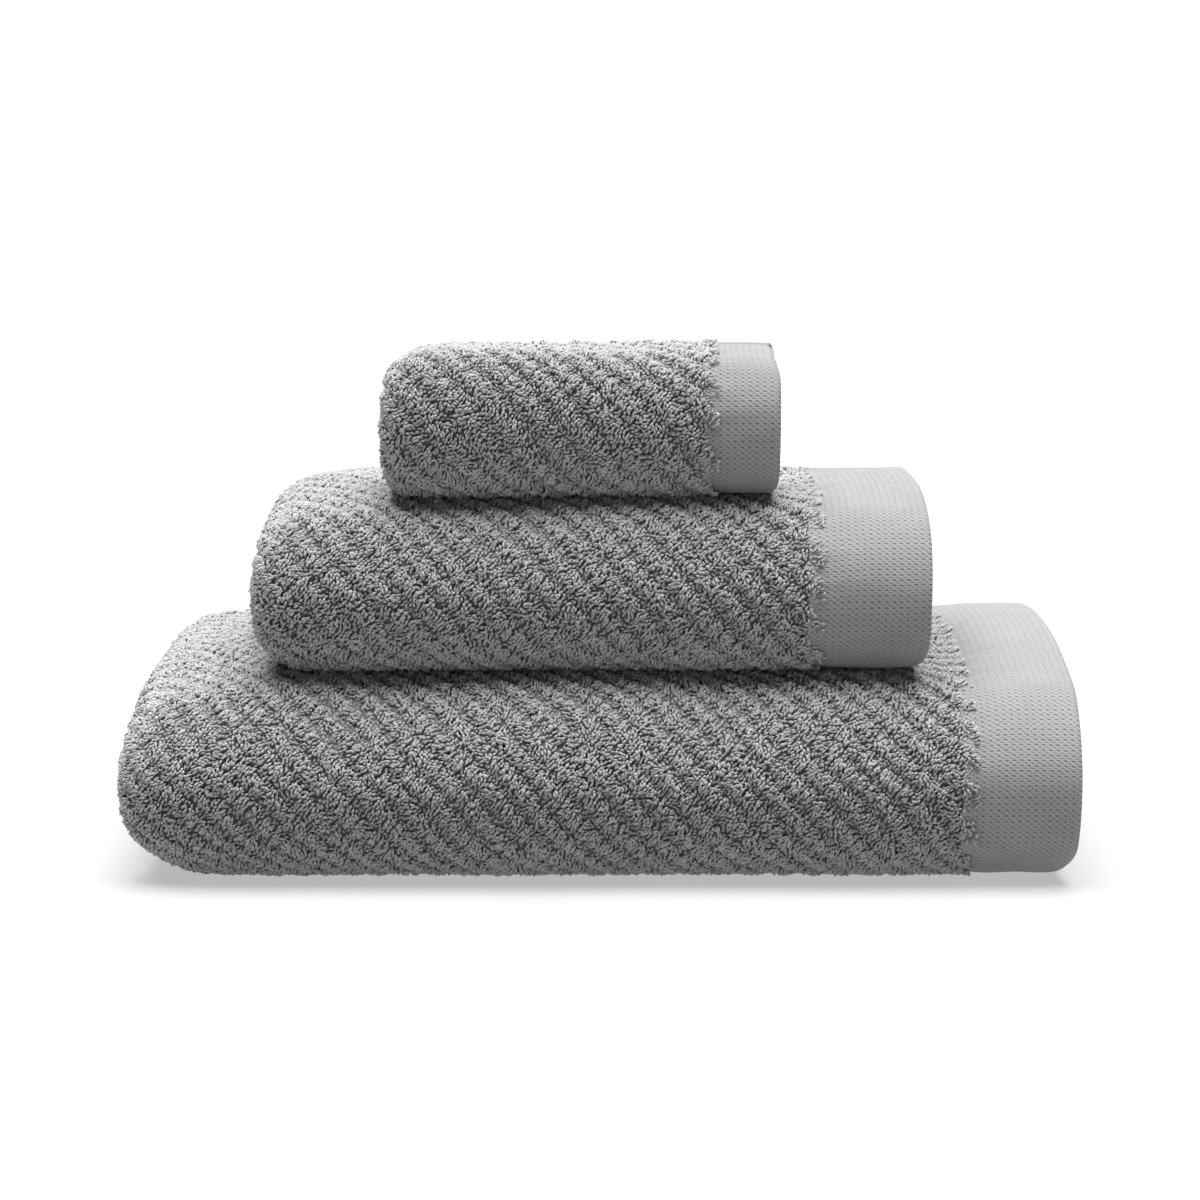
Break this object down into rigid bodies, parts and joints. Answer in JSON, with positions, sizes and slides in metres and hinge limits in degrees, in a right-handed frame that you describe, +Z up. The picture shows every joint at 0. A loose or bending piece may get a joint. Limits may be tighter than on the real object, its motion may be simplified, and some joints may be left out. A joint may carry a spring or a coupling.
{
  "type": "folded towel set",
  "caption": "Stack of folded grey terry towels in graded sizes, with smooth rounded noses in front and a flat-woven hem band round one end.",
  "frame": {"origin": "on the surface that the stack stands on, under the middle of the bath towel's box", "axes": "+Z up, -Y towards the smooth fold noses, +X towards the ends with the woven hems"},
  "size_m": [0.353, 0.2518, 0.199],
  "materials": {
    "terry_pile": "matte looped pile",
    "woven_hem": "matte flat weave",
    "sewing_thread": "twisted thread",
    "care_label": "blank satin tape"
  },
  "bodies": {
    "bath_towel": {"bath_towel_care_label": "care_label", "bath_towel_end_hem_inner": "woven_hem", "bath_towel_end_hem_outer": "woven_hem", "bath_towel_end_seam_inner": "sewing_thread", "bath_towel_end_seam_outer": "sewing_thread", "bath_towel_pile_field": "terry_pile", "bath_towel_side_hem_top": "woven_hem", "bath_towel_side_hem_tucked": "woven_hem", "bath_towel_side_seam_top": "sewing_thread", "bath_towel_side_seam_tucked": "sewing_thread"},
    "hand_towel": {"hand_towel_care_label": "care_label", "hand_towel_end_hem_inner": "woven_hem", "hand_towel_end_hem_outer": "woven_hem", "hand_towel_end_seam_inner": "sewing_thread", "hand_towel_end_seam_outer": "sewing_thread", "hand_towel_pile_field": "terry_pile", "hand_towel_side_hem_top": "woven_hem", "hand_towel_side_hem_tucked": "woven_hem", "hand_towel_side_seam_top": "sewing_thread", "hand_towel_side_seam_tucked": "sewing_thread"},
    "washcloth": {"washcloth_care_label": "care_label", "washcloth_end_hem_inner": "woven_hem", "washcloth_end_hem_outer": "woven_hem", "washcloth_end_seam_inner": "sewing_thread", "washcloth_end_seam_outer": "sewing_thread", "washcloth_pile_field": "terry_pile", "washcloth_side_hem_top": "woven_hem", "washcloth_side_hem_tucked": "woven_hem", "washcloth_side_seam_top": "sewing_thread", "washcloth_side_seam_tucked": "sewing_thread"}
  },
  "joints": [
    {"name": "lift_hand_towel", "type": "slide", "parent": "bath_towel", "child": "hand_towel", "axis": [0, 0, 1], "range_m": [0, 0.2]},
    {"name": "lift_washcloth", "type": "slide", "parent": "hand_towel", "child": "washcloth", "axis": [0, 0, 1], "range_m": [0, 0.15]}
  ]
}
